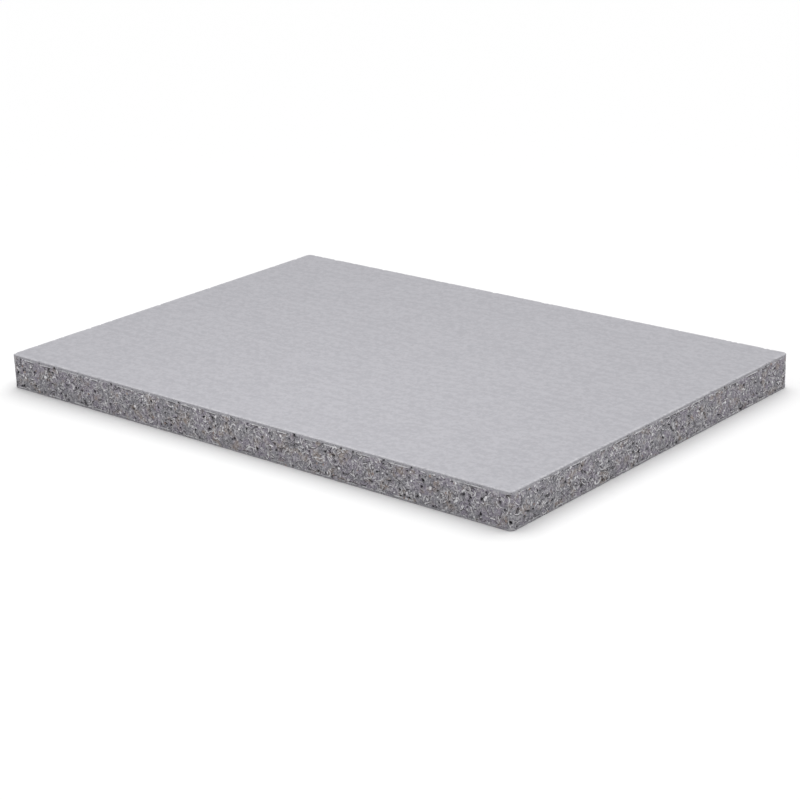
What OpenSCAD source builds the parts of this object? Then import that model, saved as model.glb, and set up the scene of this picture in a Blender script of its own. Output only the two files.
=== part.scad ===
// Sawn hand piece of magnesium oxide sheathing board, lying on its back face.
// The board is cast in one piece: a smooth front face, a core of light
// aggregate and a back face that bears on the studs of the wall. The origin is
// at the middle of the back face, +X runs along the length and +Z points out
// of the front face. All sizes are in millimetres.

/* [Board] */
// Length of the sawn piece
board_l = 216; // [100:1:600]
// Width of the sawn piece
board_w = 152; // [60:1:400]
// Thickness over both faces
board_t = 12; // [6:0.5:25]

/* [Edges] */
// Radius worn onto the four upright corners
corner_r = 1.8; // [1:0.1:6]
// Radius that eases the arris round the front face
front_arris_r = 0.3; // [0.1:0.05:0.8]
// Width of the bevel that the saw and handling leave round the back face
back_arris_c = 0.2; // [0.1:0.05:0.8]

/* [Hidden] */
$fn = 64;
// The rim is everything outside the rectangle through the corners' centres.
inner_l = board_l - 2 * corner_r;
inner_w = board_w - 2 * corner_r;
board_colour = [0.75, 0.745, 0.77];

// What the easing takes off one arris: a square less its quarter circle.
module arris_easing(r) {
    difference() {
        square(r);
        circle(r = r);
    }
}

// Section through the rim, from the corners' centre line out to the sawn edge.
module rim_section() {
    difference() {
        square([corner_r, board_t]);
        translate([corner_r - front_arris_r, board_t - front_arris_r])
            arris_easing(front_arris_r);
        polygon([
            [corner_r - back_arris_c, 0],
            [corner_r, 0],
            [corner_r, back_arris_c]
        ]);
    }
}

// One straight run of the rim, along X and centred, with its edge towards +Y.
module rim_run(run_l) {
    translate([-run_l / 2, 0, 0])
        rotate([90, 0, 90])
            linear_extrude(height = run_l)
                rim_section();
}

// One upright corner: the rim's section turned through a right angle.
module rim_corner() {
    rotate_extrude(angle = 90)
        rim_section();
}

// The board: a plain slab inside, with the same section carried right round it.
module board() {
    color(board_colour)
        union() {
            translate([-inner_l / 2, -inner_w / 2, 0])
                cube([inner_l, inner_w, board_t]);
            for (side = [0, 1]) {
                rotate(180 * side)
                    translate([0, inner_w / 2, 0])
                        rim_run(inner_l);
                rotate(90 + 180 * side)
                    translate([0, inner_l / 2, 0])
                        rim_run(inner_w);
                rotate(180 * side)
                    translate([inner_l / 2, inner_w / 2, 0])
                        rim_corner();
                rotate(180 * side)
                    translate([-inner_l / 2, inner_w / 2, 0])
                        rotate(90)
                            rim_corner();
            }
        }
}

board();
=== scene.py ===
"""A sawn hand piece of magnesium oxide sheathing board, lying face up on a pale floor."""

import math
import random

import bmesh
import bpy
from mathutils import Matrix, Vector, noise
from mathutils.bvhtree import BVHTree


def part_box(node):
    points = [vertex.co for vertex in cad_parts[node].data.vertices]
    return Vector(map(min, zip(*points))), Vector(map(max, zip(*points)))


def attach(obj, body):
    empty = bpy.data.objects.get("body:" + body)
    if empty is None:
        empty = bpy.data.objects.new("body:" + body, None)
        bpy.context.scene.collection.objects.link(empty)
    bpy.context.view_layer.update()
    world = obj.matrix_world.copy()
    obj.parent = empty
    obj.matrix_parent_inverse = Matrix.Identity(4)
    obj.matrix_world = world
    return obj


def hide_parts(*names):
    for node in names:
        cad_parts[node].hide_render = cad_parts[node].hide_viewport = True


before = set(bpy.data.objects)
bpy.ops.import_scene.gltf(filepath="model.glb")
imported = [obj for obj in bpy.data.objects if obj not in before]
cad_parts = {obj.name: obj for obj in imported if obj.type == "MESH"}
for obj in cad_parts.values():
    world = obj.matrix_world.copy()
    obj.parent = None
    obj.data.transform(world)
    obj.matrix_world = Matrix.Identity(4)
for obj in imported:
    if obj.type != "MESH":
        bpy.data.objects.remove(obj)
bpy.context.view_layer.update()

# The board itself
# One casting of magnesium oxide cement, pressed smooth on its faces and sawn to
# size. The saw leaves the edges rough: it pulls grains out of the light core, and
# breaks small chips off the arrises, while the dense skins stay nearly clean.
MM = 0.001
board_low, board_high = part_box("board")
board_l = board_high[0] - board_low[0]
board_w = board_high[1] - board_low[1]
board_t = board_high[2] - board_low[2]
corner_r = 1.8 * MM
front_arris_r = 0.3 * MM
back_arris_c = 0.2 * MM
skin_t = 0.7 * MM
skin_fade = 0.3 * MM
core_recess = 0.07 * MM
core_unevenness = 0.05 * MM
crowd_size = 6 * MM
cell = 0.6 * MM
chances = random.Random(12)
CAST_FRONT, SAWN, CAST_BACK = range(3)


def straight_to_corner(x, y):
    """The nearest point to x, y on the rectangle through the corners' centres."""
    inner_x = board_l / 2 - corner_r
    inner_y = board_w / 2 - corner_r
    return Vector((max(-inner_x, min(inner_x, x)), max(-inner_y, min(inner_y, y)), 0))


def on_rim(s, z, out):
    """The place s along the rim from the middle of the front edge, z up and out from it."""
    inner_x = board_l - 2 * corner_r
    inner_y = board_w - 2 * corner_r
    bend = math.pi / 2 * corner_r
    s = (s + inner_x / 2) % (2 * (inner_x + inner_y) + 4 * bend)
    at = Vector((-inner_x / 2, -inner_y / 2, z))
    along = Vector((1, 0, 0))
    for run in (inner_x, inner_y, inner_x, inner_y):
        outward = along.cross(Vector((0, 0, 1)))
        if s <= run:
            return at + along * s + outward * (corner_r + out)
        at += along * run
        s -= run
        if s <= bend:
            turned = Matrix.Rotation(s / corner_r, 3, "Z") @ outward
            return at + turned * (corner_r + out)
        s -= bend
        along = Matrix.Rotation(math.pi / 2, 3, "Z") @ along
    return at


def along_rim(place):
    """The s that on_rim would need to reach the rim beside this place."""
    centre = straight_to_corner(place.x, place.y)
    half_x = board_l / 2 - corner_r
    half_y = board_w / 2 - corner_r
    turn = math.atan2(place.x - centre.x, centre.y - place.y) % (2 * math.pi)
    side = round(turn / (math.pi / 2))
    walked = (
        centre.x,
        half_x + half_y + centre.y,
        2 * half_x + 2 * half_y - centre.x,
        3 * half_x + 3 * half_y - centre.y,
        4 * half_x + 4 * half_y + centre.x,
    )[side]
    return walked + corner_r * turn


def how_busy(place):
    """0 where the core is plain paste, 1 where fillers and pores crowd together."""
    swell = noise.fractal(place / crowd_size, 0.8, 2.0, 2)
    return max(0, min(1, 0.62 + 0.4 * swell))


rim_l = 2 * (board_l + board_w - 4 * corner_r) + 2 * math.pi * corner_r

body = bmesh.new()
bmesh.ops.create_grid(body, x_segments=1, y_segments=1, size=0.5)
bmesh.ops.scale(body, vec=(board_l, board_w, 1), verts=body.verts)
bmesh.ops.bevel(
    body,
    geom=body.verts[:],
    offset=corner_r,
    segments=5,
    profile=0.5,
    affect="VERTICES",
    material=-1,
)
for side in [edge for edge in body.edges if edge.calc_length() > 10 * cell]:
    columns = round(side.calc_length() / cell)
    bmesh.ops.subdivide_edges(body, edges=[side], cuts=columns - 1)
raised = bmesh.ops.extrude_face_region(body, geom=body.faces[:])
bmesh.ops.translate(
    body,
    vec=(0, 0, board_t),
    verts=[part for part in raised["geom"] if isinstance(part, bmesh.types.BMVert)],
)
bmesh.ops.recalc_face_normals(body, faces=body.faces)
for height, offset, segments in ((board_t, front_arris_r, 3), (0, back_arris_c, 1)):
    rim = [
        edge
        for edge in body.edges
        if all(abs(corner.co.z - height) < 0.01 * MM for corner in edge.verts)
    ]
    bmesh.ops.bevel(
        body,
        geom=rim,
        offset=offset,
        segments=segments,
        profile=0.5,
        affect="EDGES",
        material=-1,
    )
wall_low = back_arris_c
wall_high = board_t - front_arris_r
risers = [
    edge for edge in body.edges
    if abs(edge.verts[0].co.z - edge.verts[1].co.z) > board_t / 2
]
rows = round((wall_high - wall_low) / cell)
bmesh.ops.subdivide_edges(body, edges=risers, cuts=rows - 1)

# Two collars round each face carry the chips that reach in over its arris.
COLLARS = (0.3 * MM, 0.5 * MM)
for face in [face for face in body.faces if len(face.verts) > 8]:
    for collar in COLLARS:
        bmesh.ops.inset_region(body, faces=[face], thickness=collar, use_even_offset=True)

# The wall's vertices are shaken out of their rows, so that no line shows.
SHAKE = 0.25
for vert in body.verts:
    if wall_low + cell / 2 < vert.co.z < wall_high - cell / 2:
        centre = straight_to_corner(vert.co.x, vert.co.y)
        outward = Vector((vert.co.x, vert.co.y, 0)) - centre
        along = outward.normalized().cross(Vector((0, 0, 1)))
        if max(abs(outward.x), abs(outward.y)) > 0.999 * corner_r:
            vert.co += along * chances.uniform(-SHAKE, SHAKE) * cell
        vert.co.z += chances.uniform(-SHAKE, SHAKE) * cell

# Each pit is the four faces round a vertex: their outline is drawn in to a rough
# ring, and the faces inside it are pushed in twice. A row of PITS is the least and
# most radius, the depth and how many. A row of PIT_STEPS is how far a push draws in,
# as a share of the least radius, its share of the depth, and how dark the painted
# shade on its faces is. The pits' walls and floors are painted dark as the shadow
# that a deep pore holds.
pit_shade = body.verts.layers.float.new("pit_shade")
busy = body.verts.layers.float.new("busy")
PITS = (
    (0.48 * MM, 0.72 * MM, 0.8 * MM, 150),
    (0.34 * MM, 0.50 * MM, 0.6 * MM, 330),
    (0.20 * MM, 0.30 * MM, 0.3 * MM, 900),
)
PIT_STEPS = ((0.1, 0.7, 0.85), (0.35, 0.3, 1.0))
free = [
    vert for vert in body.verts
    if skin_t < vert.co.z < board_t - skin_t
]
chances.shuffle(free)
taken = set()
for least, most, depth, count in PITS:
    opened = []
    for vert in free:
        near = {corner for face in vert.link_faces for corner in face.verts}
        if len(opened) == 4 * count:
            break
        if not taken.isdisjoint(near) or chances.random() > 0.25 + how_busy(vert.co):
            continue
        taken |= near
        opened += vert.link_faces
        radius = chances.uniform(least, most)
        squash = chances.uniform(0.6, 1.0)
        lean = chances.uniform(0, math.pi)
        # A set has no order of its own, so sorting makes every run draw the same pits.
        for corner in sorted(near - {vert}, key=lambda corner: corner.co[:]):
            arm = corner.co - vert.co
            normal = vert.normal
            turned = Matrix.Rotation(lean, 3, normal) @ arm
            turned.z *= squash
            arm = Matrix.Rotation(-lean, 3, normal) @ (turned.normalized() * radius)
            corner.co = vert.co + arm * chances.uniform(0.85, 1.1)
    for inset, sink, pit_shade_level in PIT_STEPS:
        bmesh.ops.inset_region(
            body,
            faces=opened,
            thickness=inset * least,
            depth=-sink * depth,
            use_even_offset=True,
        )
        # Each push's faces are painted darker, as painted shade inside the pit.
        for hole in opened:
            for corner in hole.verts:
                corner[pit_shade] = pit_shade_level

# The saw's own marks: the core worn back a little, and chips off both arrises. A chip's
# reach is given in millimetres, as the least, the most and the usual.
FRONT_CHIPS = 120
BACK_CHIPS = 130
CHIP_REACH = (0.3, 0.9, 0.4)
CHIP_DEPTH = 0.5
CHIP_SLOPE = 0.6
chip_zone = 1.2 * MM
chips = [
    (on_rim(chances.uniform(0, rim_l), height, 0), chances.triangular(*CHIP_REACH) * MM)
    for height, count in ((board_t, FRONT_CHIPS), (0, BACK_CHIPS))
    for _ in range(count)
]
for vert in body.verts:
    place = vert.co.copy()
    centre = straight_to_corner(place.x, place.y)
    outward = Vector((place.x, place.y, 0)) - centre
    if outward.length < corner_r - chip_zone:
        continue
    outward.normalize()
    from_skin = min(place.z, board_t - place.z) - skin_t
    worn = max(0, min(1, from_skin / skin_fade))
    rough = noise.fractal(place / (1.3 * MM), 0.7, 2.0, 3)
    vert.co -= outward * worn * (core_recess + core_unevenness * rough)
    for heart, reach in chips:
        if abs(place.z - heart.z) < reach and (place - heart).length < reach:
            bite = CHIP_DEPTH * (1 - (place - heart).length / reach) * reach
            vert.co -= outward * bite
            vert.co.z += bite * CHIP_SLOPE if heart.z < board_t / 2 else -bite * CHIP_SLOPE
    vert[busy] = how_busy(place)
for face in body.faces:
    sawn = abs(face.normal.z) < 0.6 or len(face.verts) < 4
    face.material_index = SAWN if sawn else CAST_FRONT if face.normal.z > 0 else CAST_BACK
    face.smooth = sawn

# One square map holds both faces on the left, and the rim in five strips on the right.
MAP_SIDE = 1024
MAP_GAP = 10
FACE_SCALE = 2.58 / MM
RIM_SCALE = 6.8 / MM
RIM_STRIPS = 5
bake_map = body.loops.layers.uv.new("OFBake")
strip_l = rim_l / RIM_STRIPS
strip_w = board_t * RIM_SCALE + MAP_GAP / 2
for face in body.faces:
    middle = along_rim(face.calc_center_median()) % rim_l
    strip = min(RIM_STRIPS - 1, int(middle / strip_l))
    for loop in face.loops:
        place = loop.vert.co
        if face.material_index == SAWN:
            s = along_rim(place)
            s -= rim_l * round((s - middle) / rim_l)
            across = MAP_SIDE - MAP_GAP - (strip + 1) * strip_w + place.z * RIM_SCALE
            up = MAP_GAP + (s - strip * strip_l) * RIM_SCALE
        else:
            back = face.material_index == CAST_BACK
            across = MAP_GAP + (place.x + board_l / 2) * FACE_SCALE
            up = MAP_GAP + (place.y + board_w / 2) * FACE_SCALE
            up += back * (board_w * FACE_SCALE + MAP_GAP)
        loop[bake_map].uv = (across / MAP_SIDE, up / MAP_SIDE)
board_mesh = bpy.data.meshes.new("board")
body.to_mesh(board_mesh)
sawn_surface = BVHTree.FromBMesh(body)
body.free()
board = bpy.data.objects.new("cast_board", board_mesh)
bpy.context.scene.collection.objects.link(board)
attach(board, "root")
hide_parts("board")


class Wire:
    """One output among a material's nodes, with the sums that its patterns need."""

    def __init__(self, tree, socket=None):
        self.tree = tree
        self.socket = socket

    def node(self, kind, settings, sockets, output=0):
        """Adds a node, sets it up, joins its sockets and returns one of its outputs."""
        made = self.tree.nodes.new("ShaderNode" + kind)
        for name, value in settings.items():
            if name == "stops":
                for stop, (position, colour) in zip(made.color_ramp.elements, value):
                    stop.position = position
                    stop.color = (*colour, 1)
            else:
                setattr(made, name, value)
        for name, value in sockets.items():
            if isinstance(value, Wire):
                self.tree.links.new(value.socket, made.inputs[name])
            else:
                made.inputs[name].default_value = value
        return Wire(self.tree, made.outputs[output])

    def maths(self, operation, first, second=0.0):
        return self.node("Math", {"operation": operation}, {0: first, 1: second})

    def __add__(self, other):
        return self.maths("ADD", self, other)

    def __sub__(self, other):
        return self.maths("SUBTRACT", self, other)

    def __rsub__(self, other):
        return self.maths("SUBTRACT", other, self)

    def __mul__(self, other):
        return self.maths("MULTIPLY", self, other)

    __radd__ = __add__
    __rmul__ = __mul__

    def step(self, start, end):
        """0 at start and 1 at end, with a soft rise between them."""
        return self.node(
            "MapRange",
            {"interpolation_type": "SMOOTHSTEP"},
            {"Value": self, "From Min": start, "From Max": end},
        )

    def tint(self, low_colour, high_colour):
        """A colour that goes from the first to the second as this value goes from 0 to 1."""
        ends = [
            colour if isinstance(colour, Wire) else (*colour, 1)
            for colour in (low_colour, high_colour)
        ]
        return self.node("Mix", {"data_type": "RGBA"}, {0: self, 6: ends[0], 7: ends[1]}, 2)

    def cloud(self, size, detail=2.0, roughness=0.5, output=0):
        """Noise whose lumps are about size millimetres, read at this place."""
        sockets = {"Vector": self, "Scale": 1 / size, "Detail": detail, "Roughness": roughness}
        return self.node("TexNoise", {}, sockets, output)

    def cells(self, size, feature):
        """A pattern of cells about size millimetres across, read at this place."""
        sockets = {"Vector": self, "Scale": 1 / size}
        return self.node("TexVoronoi", {"feature": feature}, sockets, "Distance")

    def moved(self, operation, by):
        """This place with a vector sum done to it."""
        return self.node("VectorMath", {"operation": operation}, {0: self, 1: by})

    def swayed(self, size, reach):
        """This place pushed about by up to half of reach, in lumps of size millimetres."""
        push = self.cloud(size, output=1).moved("SUBTRACT", (0.5, 0.5, 0.5))
        return self.moved("ADD", push.moved("MULTIPLY", reach))

    def part(self, axis):
        """One coordinate of this place: 0 along the board, 1 across it, 2 up."""
        return self.node("SeparateXYZ", {}, {"Vector": self}, axis)


def new_finish(name):
    """A material's node tree, its shader and the place on the object in millimetres."""
    material = bpy.data.materials.new(name)
    material.use_nodes = True
    shader = material.node_tree.nodes["Principled BSDF"]
    start = Wire(material.node_tree)
    place = start.node("TexCoord", {}, {}, "Object").moved("MULTIPLY", (1000, 1000, 1000))
    return material, shader, place


def join(value, shader, name):
    value.tree.links.new(value.socket, shader.inputs[name])


# The cast face
# Cement skin over a woven glass mesh: matt, pale violet grey, with the mesh's
# threads just showing as shallow broken ridges, 3.8 mm apart along it and 4.5 across.
FACE_PALE = (0.432, 0.427, 0.458)
FACE_DULL = (0.372, 0.368, 0.397)
# FACE_RIM_HIGHLIGHT is a painted highlight for the face's edge, where the arris catches the
# light.
FACE_RIM_HIGHLIGHT = (0.53, 0.525, 0.55)
FACE_RIM = 1.2
MESH_ALONG = 3.82
MESH_ACROSS = 4.49
cast_face, shader, place = new_finish("cast_face")
woven = place.swayed(9.0, (1.6, 1.6, 0))
across = woven.part(0) * (2 * math.pi / MESH_ALONG)
along = woven.part(1) * (2 * math.pi / MESH_ACROSS)
weft = place.maths("SINE", across)
warp = place.maths("SINE", along)
broken = place.moved("MULTIPLY", (0.35, 1, 1)).cloud(2.6, 2.0).step(0.3, 0.7)
weave = warp * (broken * 0.9 + 0.3) + weft * (1.2 - broken) * 0.3 + warp * weft * 0.5
patchy = place.cloud(14.0, 3.0)
dapple = place.moved("MULTIPLY", (0.75, 1, 1)).cloud(1.8, 4.0, 0.7)
fine = place.cloud(0.9, 3.0, 0.7)
shade = weave * 0.17 + (patchy - 0.5) * 0.7 + (dapple - 0.5) * 3.8 + (fine - 0.5) * 3.3 + 0.5
past_x = place.maths("ABSOLUTE", place.part(0)) - (board_l / 2 / MM - FACE_RIM)
past_y = place.maths("ABSOLUTE", place.part(1)) - (board_w / 2 / MM - FACE_RIM)
at_rim = place.maths("MAXIMUM", past_x, past_y).step(-0.3, 0.7)
# Painted highlight: a broken paler band along the face's rim, where the arris catches the
# light.
rim_highlight = at_rim * place.cloud(1.1, 3.0, 0.7).step(0.42, 0.6)
colour = (rim_highlight * 0.9).tint(shade.tint(FACE_DULL, FACE_PALE), FACE_RIM_HIGHLIGHT)
join(colour, shader, "Base Color")
join(fine * 0.16 + 0.62, shader, "Roughness")
height = weave * 0.016 + dapple * 0.05 + fine * 0.025
bump = height.node("Bump", {}, {"Height": height, "Strength": 1.0, "Distance": 0.001})
join(bump, shader, "Normal")

# The sawn core
# Mid grey cement paste full of light filler: pale rims round the grains, small dark
# specks, small pores whose faces are painted dark as shade, and violet, neutral and tan
# patches where the fillers differ.
CORE_VIOLET = (0.288, 0.262, 0.318)
CORE_NEUTRAL = (0.260, 0.257, 0.282)
CORE_PALE = (0.60, 0.58, 0.61)
CORE_DARK = (0.07, 0.066, 0.075)
CORE_TAN = (0.340, 0.280, 0.236)
# PIT_SHADE_COLOUR is painted shade: the shadow that fills a pit.
PIT_SHADE_COLOUR = (0.02, 0.018, 0.02)
SKIN = (0.405, 0.40, 0.43)
SKIN_FOOT = (0.48, 0.475, 0.50)
sawn_core, shader, place = new_finish("sawn_core")
wandered = place.swayed(1.5, (1.4, 1.4, 1.4))
patches = place.cloud(5.0, 2.0).step(0.42, 0.58)
mottle = place.cloud(1.0, 4.0, 0.65)
grit = place.cloud(0.45, 3.0, 0.7)
dust = place.cloud(0.16, 2.0, 0.6)
colour = patches.tint(CORE_NEUTRAL, CORE_VIOLET)
tan = place.moved("ADD", (31, 7, 3)).cloud(3.5, 3.0).step(0.52, 0.68)
colour = (tan * 0.8).tint(colour, CORE_TAN)
crowd = place.node("Attribute", {"attribute_name": "busy"}, {}, "Fac") * 0.5 + 0.5
broken = place.moved("ADD", (5, 17, 9)).cloud(1.2, 2.0).step(0.42, 0.6)
seams = 1 - wandered.moved("ADD", (3, 3, 3)).cells(1.3, "DISTANCE_TO_EDGE").step(0.03, 0.12)
colour = (seams * (1 - broken) * crowd * 0.75).tint(colour, CORE_DARK)
colour = (mottle.step(0.54, 0.78) * crowd * 0.4).tint(colour, CORE_PALE)
colour = ((1 - mottle.step(0.22, 0.43)) * crowd * 0.75).tint(colour, CORE_DARK)
colour = (grit.step(0.53, 0.68) * crowd).tint(colour, CORE_PALE)
colour = ((1 - grit.step(0.30, 0.46)) * crowd * 1.1).tint(colour, CORE_DARK)
rims = 1 - wandered.cells(2.0, "DISTANCE_TO_EDGE").step(0.03, 0.11)
colour = (rims * broken * 0.6).tint(colour, CORE_PALE)
colour = (dust.step(0.55, 0.7) * 0.35).tint(colour, CORE_PALE)
colour = ((1 - dust.step(0.3, 0.45)) * 0.45).tint(colour, CORE_DARK)
up = place.part(2)
lip = (place.cloud(1.6, 3.0, 0.6) - 0.5) * 1.1
whole = place.moved("ADD", (11, 5, 2)).cloud(1.0, 3.0, 0.6).step(0.38, 0.56)
skin = (up + lip).step(11.0, 11.2) * (whole * 0.3 + 0.6)
colour = skin.tint(colour, SKIN)
foot = (1 - (up - lip).step(0.4, 0.7)) * (whole * 0.8 + 0.15)
colour = foot.tint(colour, SKIN_FOOT)
colour = ((1 - grit.step(0.36, 0.48)) * (skin + foot) * 0.6).tint(colour, CORE_DARK)
colour = (grit.step(0.53, 0.66) * (skin + foot) * 0.5).tint(colour, CORE_PALE)
# Painted shade: the pits' faces go near black, standing in for the shadow inside them.
painted_pit_shade = place.node("Attribute", {"attribute_name": "pit_shade"}, {}, "Fac")
colour = painted_pit_shade.tint(colour, PIT_SHADE_COLOUR)
join(colour, shader, "Base Color")
join(mottle * 0.2 + 0.7, shader, "Roughness")
height = mottle * 0.12 + rims * broken * 0.05 + grit * 0.07 + dust * 0.03
bump = height.node("Bump", {}, {"Height": height, "Strength": 1.0, "Distance": 0.001})
join(bump, shader, "Normal")

# The cast back
# The other face was cast against the mould: the same skin, a shade darker and
# plainer, with its mesh nearer the surface and small holes left by air bubbles. The
# holes are painted dark, as the shade inside them.
BACK_PALE = (0.410, 0.404, 0.428)
BACK_DULL = (0.325, 0.320, 0.342)
BUBBLE_SHADE = (0.16, 0.155, 0.165)
cast_back, shader, place = new_finish("cast_back")
woven = place.swayed(12.0, (1.2, 1.2, 0))
weft = place.maths("SINE", woven.part(0) * (math.pi / MESH_ALONG))
warp = place.maths("SINE", woven.part(1) * (math.pi / MESH_ACROSS))
weft = 1 - place.maths("ABSOLUTE", weft).step(0.05, 0.5)
warp = 1 - place.maths("ABSOLUTE", warp).step(0.05, 0.5)
buried = place.moved("ADD", (4, 8, 2)).cloud(4.0, 3.0).step(0.38, 0.62)
threads = place.maths("MAXIMUM", weft, warp) * (1 - buried * 0.7)
patchy = place.cloud(20.0, 3.0)
grain = place.cloud(1.2, 4.0, 0.65)
fine = place.cloud(0.4, 3.0, 0.7)
shade = threads * 0.35 + (patchy - 0.5) * 1.4 + (grain - 0.5) * 2.2 + (fine - 0.5) * 1.6 + 0.4
ragged = place.swayed(0.8, (0.6, 0.6, 0.6))
bubbles = 1 - ragged.cells(5.5, "F1").step(0.05, 0.08)
bubbles = bubbles * place.moved("ADD", (9, 1, 6)).cloud(11.0).step(0.46, 0.5)
# Painted shade: the bubble holes' colour goes dark, for the shadow inside them.
colour = (bubbles * 0.8).tint(shade.tint(BACK_DULL, BACK_PALE), BUBBLE_SHADE)
join(colour, shader, "Base Color")
join(grain * 0.2 + 0.68, shader, "Roughness")
height = threads * 0.05 + grain * 0.06 + fine * 0.03 - bubbles * 0.2
bump = height.node("Bump", {}, {"Height": height, "Strength": 1.0, "Distance": 0.001})
join(bump, shader, "Normal")
for finish in (cast_face, sawn_core, cast_back):
    board_mesh.materials.append(finish)

# The pale fibres
# Slivers of filler in the core, short and long, laid bare by the saw and cut off flush.
# They lie flat in the sawn face at every angle. Beside many of them, and where the saw
# pulled one out, a thin dark sheet is laid as painted shade, the shadow of the socket.
FIBRE_SHAKE = 0.06
FIBRE_TIP = 0.6

# Each kind of fibre is given as the radius of its bend and its length.
SHORT_FIBRES = (
    (12.0 * MM, 1.4 * MM),
    (7.0 * MM, 1.9 * MM),
    (5.0 * MM, 0.9 * MM),
    (3.0 * MM, 1.5 * MM),
    (1.6 * MM, 1.2 * MM),
    (1.0 * MM, 2.2 * MM),
)
LONG_FIBRES = (
    (9.0 * MM, 3.0 * MM),
    (5.0 * MM, 3.6 * MM),
    (3.2 * MM, 4.4 * MM),
    (2.0 * MM, 3.4 * MM),
    (1.4 * MM, 2.8 * MM),
)


def curl(radius, run, width):
    """A closed, tapered sliver bent to a radius, lying flat with its middle at the origin."""
    shape = bmesh.new()
    ring = bmesh.ops.create_circle(shape, segments=4, radius=width / 2)["verts"]
    bmesh.ops.rotate(shape, verts=ring, matrix=Matrix.Rotation(math.pi / 2, 3, "X"))
    bmesh.ops.translate(shape, verts=ring, vec=(radius, 0, 0))
    turn = run / radius
    bmesh.ops.rotate(shape, verts=ring, matrix=Matrix.Rotation(-turn / 2, 3, "Z"))
    bmesh.ops.spin(
        shape,
        geom=shape.verts[:] + shape.edges[:],
        cent=(0, 0, 0),
        axis=(0, 0, 1),
        angle=turn,
        steps=5,
    )
    ends = [edge for edge in shape.edges if edge.is_boundary]
    bmesh.ops.holes_fill(shape, edges=ends, sides=0)
    for cap in [face for face in shape.faces if all(edge in ends for edge in face.edges)]:
        centre = cap.calc_center_median()
        bmesh.ops.scale(
            shape, verts=cap.verts, vec=(FIBRE_TIP,) * 3, space=Matrix.Translation(-centre)
        )
    bmesh.ops.translate(shape, verts=shape.verts, vec=(-radius * math.cos(turn / 4), 0, 0))
    for vert in shape.verts:
        vert.co += Vector(chances.uniform(-FIBRE_SHAKE, FIBRE_SHAKE) * MM for _ in range(3))
    bmesh.ops.recalc_face_normals(shape, faces=shape.faces)
    mesh = bpy.data.meshes.new("curl")
    shape.to_mesh(mesh)
    shape.free()
    return mesh


def sawn_depth(s, z):
    """How far the sawn surface lies inside the board's box at this place on the rim."""
    outside = on_rim(s, z, 2 * MM)
    inside = on_rim(s, z, -2 * MM)
    hit = sawn_surface.ray_cast(outside, inside - outside)[0]
    return (outside - hit).length - 2 * MM if hit else 0


# A shape follows the sawn face, but sinks no deeper than SETTLED. None is laid with its
# middle deeper than DEEP_PIT, and its height stays between LOWEST and HIGHEST.
DEEP_PIT = 0.2 * MM
SETTLED = 0.12 * MM
FLUSH = 0.002 * MM
LOWEST = 0.1 * MM
HIGHEST = board_t - 0.2 * MM


def lay(strip, shape, s, z, turn, spread):
    """Adds a shape to the strip, flat in the sawn face at this place on the rim."""
    if sawn_depth(s, z) > DEEP_PIT:
        return
    first = len(strip.verts)
    strip.from_mesh(shape)
    strip.verts.ensure_lookup_table()
    made = strip.verts[first:]
    fit = Matrix.Rotation(turn, 4, "Z") @ Matrix.Diagonal((*spread, 1))
    bmesh.ops.transform(strip, matrix=fit, verts=made)
    tone = strip.verts.layers.float["tone"]
    shade = chances.random()
    for vert in made:
        vert[tone] = shade
        spot = vert.co
        height = max(LOWEST, min(HIGHEST, z + spot.y))
        depth = min(sawn_depth(s + spot.x, height), SETTLED)
        out = min(spot.z - depth, -FLUSH)
        vert.co = on_rim(s + spot.x, height, out)


def new_strip():
    """A mesh for shapes laid round the rim, each with a tone of its own."""
    strip = bmesh.new()
    strip.verts.layers.float.new("tone")
    return strip


def set_in(name, strip, material):
    """Makes the strip a piece that is cast into the board."""
    for face in strip.faces:
        face.smooth = True
    mesh = bpy.data.meshes.new(name)
    strip.to_mesh(mesh)
    strip.free()
    mesh.materials.append(material)
    piece = bpy.data.objects.new(name, mesh)
    bpy.context.scene.collection.objects.link(piece)
    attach(piece, "root")


CORE_MARGIN = 0.4 * MM
FRONT_EXTRA = 0.4 * MM
CUT_FLAT = 0.33
# The SOCKET numbers place the painted shade that stands for each sliver's socket.
SOCKET_SHARE = 0.6
SOCKET_FLAT = 0.12
SOCKET_SLIP = 0.16
SOCKET_DROP = 0.18 * MM


def scatter(name, shapes, count, sizes, material, sockets=None, margin=CORE_MARGIN):
    """Lays up to count of the shapes at random places and angles all round the core, with
    painted shade in sockets under some of them.
    """
    strip = new_strip()
    for _ in range(count):
        s = chances.uniform(0, rim_l)
        z = chances.uniform(margin, board_t - margin - FRONT_EXTRA)
        size = chances.triangular(*sizes)
        stretch = chances.uniform(0.8, 1.25)
        spread = (size * stretch, size / stretch, CUT_FLAT)
        turn = chances.uniform(0, 2 * math.pi)
        shape = chances.choice(shapes)
        if chances.random() < 0.3 + 0.8 * how_busy(on_rim(s, z, 0)):
            lay(strip, shape, s, z, turn, spread)
            # Painted shade: a flat dark copy of the sliver, just under it and a little to one
            # side, for the shadow of its socket.
            if sockets and chances.random() < SOCKET_SHARE:
                slip = chances.uniform(-SOCKET_SLIP, SOCKET_SLIP) * MM
                shade_spread = (spread[0], spread[1], SOCKET_FLAT)
                lay(sockets, shape, s + slip, z - SOCKET_DROP, turn, shade_spread)
    set_in(name, strip, material)


def filler_finish(name, dull, bright):
    """A matt finish whose colour goes from dull to bright by each sliver's own tone."""
    material, shader, place = new_finish(name)
    tone = place.node("Attribute", {"attribute_name": "tone"}, {}, "Fac")
    streak = place.cloud(0.6, 3.0)
    join((tone * 0.8 + streak * 0.6 - 0.2).tint(dull, bright), shader, "Base Color")
    join(streak * 0.3 + 0.5, shader, "Roughness")
    return material


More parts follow.
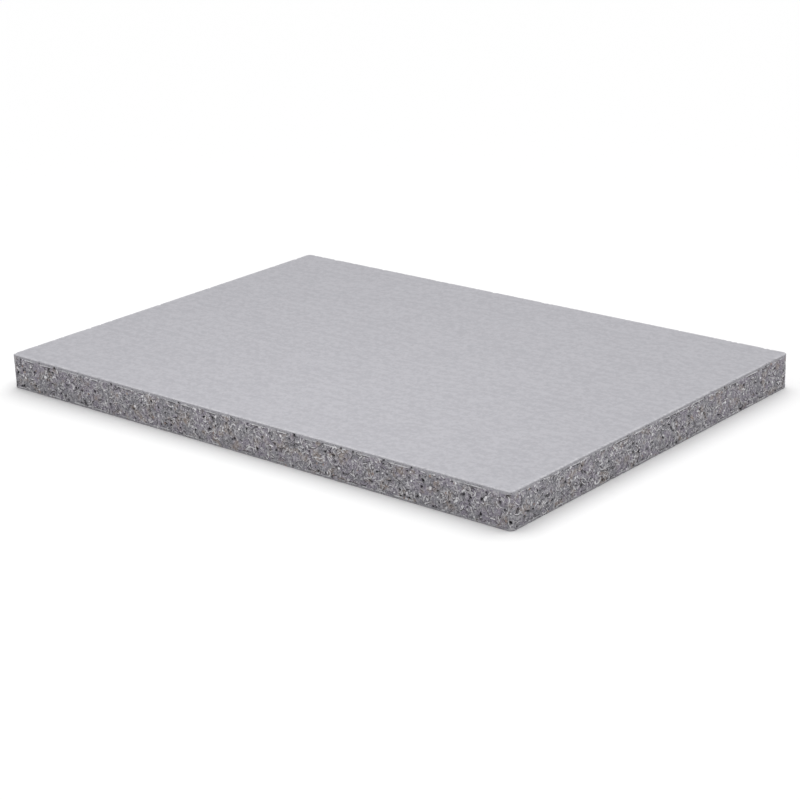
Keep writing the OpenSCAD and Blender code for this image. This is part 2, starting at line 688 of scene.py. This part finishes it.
SHORT_FIBRE_W = 0.42 * MM
LONG_FIBRE_W = 0.32 * MM
short_curls = [curl(radius, run, SHORT_FIBRE_W) for radius, run in SHORT_FIBRES]
long_curls = [curl(radius, run, LONG_FIBRE_W) for radius, run in LONG_FIBRES]
fibre_finish = filler_finish("pale_fibre", (0.38, 0.365, 0.385), (0.86, 0.85, 0.87))
sockets = new_strip()
scatter("pale_fibres", short_curls, 1600, (0.6, 1.5, 0.8), fibre_finish, sockets)
scatter(
    "long_fibres", long_curls, 600, (0.5, 1.1, 0.8), fibre_finish, sockets, margin=1.9 * MM
)
# This near black finish is painted shade, for the sockets and for the gaps beside the glass
# yarns.
socket_shade_finish = filler_finish("socket_shadow", (0.04, 0.036, 0.04), (0.15, 0.14, 0.155))
set_in("fibre_socket_shade", sockets, socket_shade_finish)
curls = short_curls + long_curls
# Where the saw pulled a sliver out, only its painted shade is laid.
scatter("empty_socket_shade", curls, 1100, (0.45, 1.1, 0.75), socket_shade_finish, margin=1.0 * MM)


# The grains
# Rounded grains of light filler, cut through by the saw, so that each one shows
# a flat pale face. A few are chips of wood or rust-coloured sand.
def lump(fineness, number):
    """A rough rounded grain, about one millimetre across."""
    shape = bmesh.new()
    bmesh.ops.create_icosphere(shape, subdivisions=fineness, radius=0.5 * MM)
    for vert in shape.verts:
        push = noise.noise(vert.co / (0.45 * MM) + Vector((number * 7, 0, 0)))
        vert.co *= 1 + 0.5 * push
    mesh = bpy.data.meshes.new("lump")
    shape.to_mesh(mesh)
    shape.free()
    return mesh


fine_lumps = [lump(1, number) for number in range(8)]
full_lumps = [lump(2, number) for number in range(8)]
grain_finish = filler_finish("pale_grain", (0.42, 0.41, 0.43), (0.9, 0.89, 0.91))
tan_finish = filler_finish("tan_chip", (0.24, 0.17, 0.15), (0.40, 0.33, 0.30))
scatter("small_grains", fine_lumps, 2900, (0.25, 0.8, 0.4), grain_finish)
scatter("large_grains", full_lumps, 420, (0.6, 1.2, 0.7), grain_finish)
scatter("tan_chips", full_lumps, 120, (0.4, 1.2, 0.6), tan_finish)

# The glass mesh
# A woven glass mesh lies just under each face, to give the board its strength. The saw
# bares long stretches of the yarns beside it, and cuts the crossing ones off as dashes.
# A dark strip beside many bared yarns is painted shade, the shadow of the gap along them.
FRONT_MESH_DEPTH = 1.05 * MM
BACK_MESH_DEPTH = 0.8 * MM
YARN_L = 6 * MM
YARN_END_L = 1.3 * MM
YARN_W = 0.36 * MM
YARN_BEND_R = 250 * MM
YARN_END_BEND_R = 40 * MM
YARN_FLAT = 0.5
YARN_END_SHARE = 0.5
# The GAP numbers place the painted shade along the bared yarns.
GAP_SHARE = 0.6
GAP_FLAT = 0.2
GAP_INWARD = 0.3
yarns = [curl(YARN_BEND_R, YARN_L, YARN_W) for _ in range(4)]
yarn_ends = [curl(YARN_END_BEND_R, YARN_END_L, YARN_W) for _ in range(4)]
mesh_yarns = new_strip()
mesh_gap_shade = new_strip()
side_start = -(board_l / 2 - corner_r)
for side_l, pitch in ((board_l, MESH_ALONG), (board_w, MESH_ACROSS)) * 2:
    straight = side_l - 2 * corner_r
    back_mesh = (BACK_MESH_DEPTH, GAP_INWARD)
    front_mesh = (board_t - FRONT_MESH_DEPTH, -GAP_INWARD)
    for height, inward in (back_mesh, front_mesh):
        for number in range(int(straight / (pitch * MM))):
            s = side_start + (number + chances.uniform(0.35, 0.65)) * pitch * MM
            z = height + chances.uniform(-0.15, 0.15) * MM
            if chances.random() < YARN_END_SHARE:
                spread = (1.0, chances.uniform(0.5, 1.4), YARN_FLAT)
                lay(mesh_yarns, chances.choice(yarn_ends), s, z, math.pi / 2, spread)
        s = side_start + chances.uniform(0, 6) * MM
        while s < side_start + straight - 2 * YARN_L:
            long = chances.uniform(0.3, 1.3)
            z = height + chances.uniform(-0.1, 0.1) * MM
            s += long * YARN_L / 2
            yarn = chances.choice(yarns)
            lay(mesh_yarns, yarn, s, z, math.pi / 2, (1.0, long, YARN_FLAT))
            # Painted shade: a flat dark strip along the yarn, a little towards the board's
            # middle, for the shadow of the gap there.
            if chances.random() < GAP_SHARE:
                gap_l = chances.uniform(0.5, 0.95) * long
                lay(mesh_gap_shade, yarn, s, z + inward * MM, math.pi / 2, (1.1, gap_l, GAP_FLAT))
            s += long * YARN_L / 2 + chances.triangular(0, 12, 2) * MM
    side_start += straight + math.pi / 2 * corner_r
glass_finish = filler_finish("glass_yarn", (0.40, 0.40, 0.42), (0.80, 0.80, 0.82))
set_in("glass_mesh_yarns", mesh_yarns, glass_finish)
set_in("glass_mesh_gap_shade", mesh_gap_shade, socket_shade_finish)

# The floor, the light and the camera
# A plain white floor under an even sky, lit softly from behind on the left and by a
# weak fill over the board's long near edge. The camera stands where the photograph's was.
FLOOR_WHITE = 0.975
FLOOR_SIZE = 4.0
floor_mesh = bpy.data.meshes.new("floor")
plane = bmesh.new()
bmesh.ops.create_grid(plane, x_segments=1, y_segments=1, size=FLOOR_SIZE)
plane.to_mesh(floor_mesh)
plane.free()
floor = bpy.data.objects.new("floor", floor_mesh)
bpy.context.scene.collection.objects.link(floor)
floor_finish, shader, place = new_finish("floor_white")
shader.inputs["Base Color"].default_value = (FLOOR_WHITE, FLOOR_WHITE, FLOOR_WHITE, 1)
shader.inputs["Roughness"].default_value = 0.9
shader.inputs["Specular IOR Level"].default_value = 0.0
floor_mesh.materials.append(floor_finish)

world = bpy.data.worlds.new("studio")
world.use_nodes = True
bpy.context.scene.world = world
sky = world.node_tree.nodes["Background"]
sky.inputs["Color"].default_value = (1, 1, 1, 1)
start = Wire(world.node_tree)
seen = start.node("LightPath", {}, {}, "Is Camera Ray")
SKY_LEVEL = 0.42
join(seen * (1 - SKY_LEVEL) + SKY_LEVEL, sky, "Strength")
sun_data = bpy.data.lights.new("overhead", "SUN")
sun_data.energy = 2.13
sun_data.angle = math.radians(80)
sun = bpy.data.objects.new("overhead", sun_data)
bpy.context.scene.collection.objects.link(sun)
sun.rotation_euler = (math.radians(-25), math.radians(-11), 0)
fill_data = bpy.data.lights.new("fill", "AREA")
fill_data.energy = 0.066
fill_data.size = 0.12
fill = bpy.data.objects.new("fill", fill_data)
bpy.context.scene.collection.objects.link(fill)
fill.location = (0.022, -0.088, 0.185)

CAMERA_AZIMUTH = math.radians(40.73)
CAMERA_ELEVATION = math.radians(19.64)
CAMERA_ROLL = math.radians(-1.86)
CAMERA_DISTANCE = 0.684
CAMERA_TARGET = Vector((0.0213, -0.0220, 0.0061))
back = Vector(
    (
        math.sin(CAMERA_AZIMUTH) * math.cos(CAMERA_ELEVATION),
        -math.cos(CAMERA_AZIMUTH) * math.cos(CAMERA_ELEVATION),
        math.sin(CAMERA_ELEVATION),
    )
)
camera_data = bpy.data.cameras.new("camera")
camera_data.sensor_width = 36
camera_data.lens = 94.5
camera = bpy.data.objects.new("camera", camera_data)
bpy.context.scene.collection.objects.link(camera)
level = (-back).to_track_quat("-Z", "Y").to_matrix().to_4x4()
rolled = level @ Matrix.Rotation(CAMERA_ROLL, 4, "Z")
camera.matrix_world = Matrix.Translation(CAMERA_TARGET + back * CAMERA_DISTANCE) @ rolled
bpy.context.scene.camera = camera
bpy.context.scene.view_settings.view_transform = "Standard"
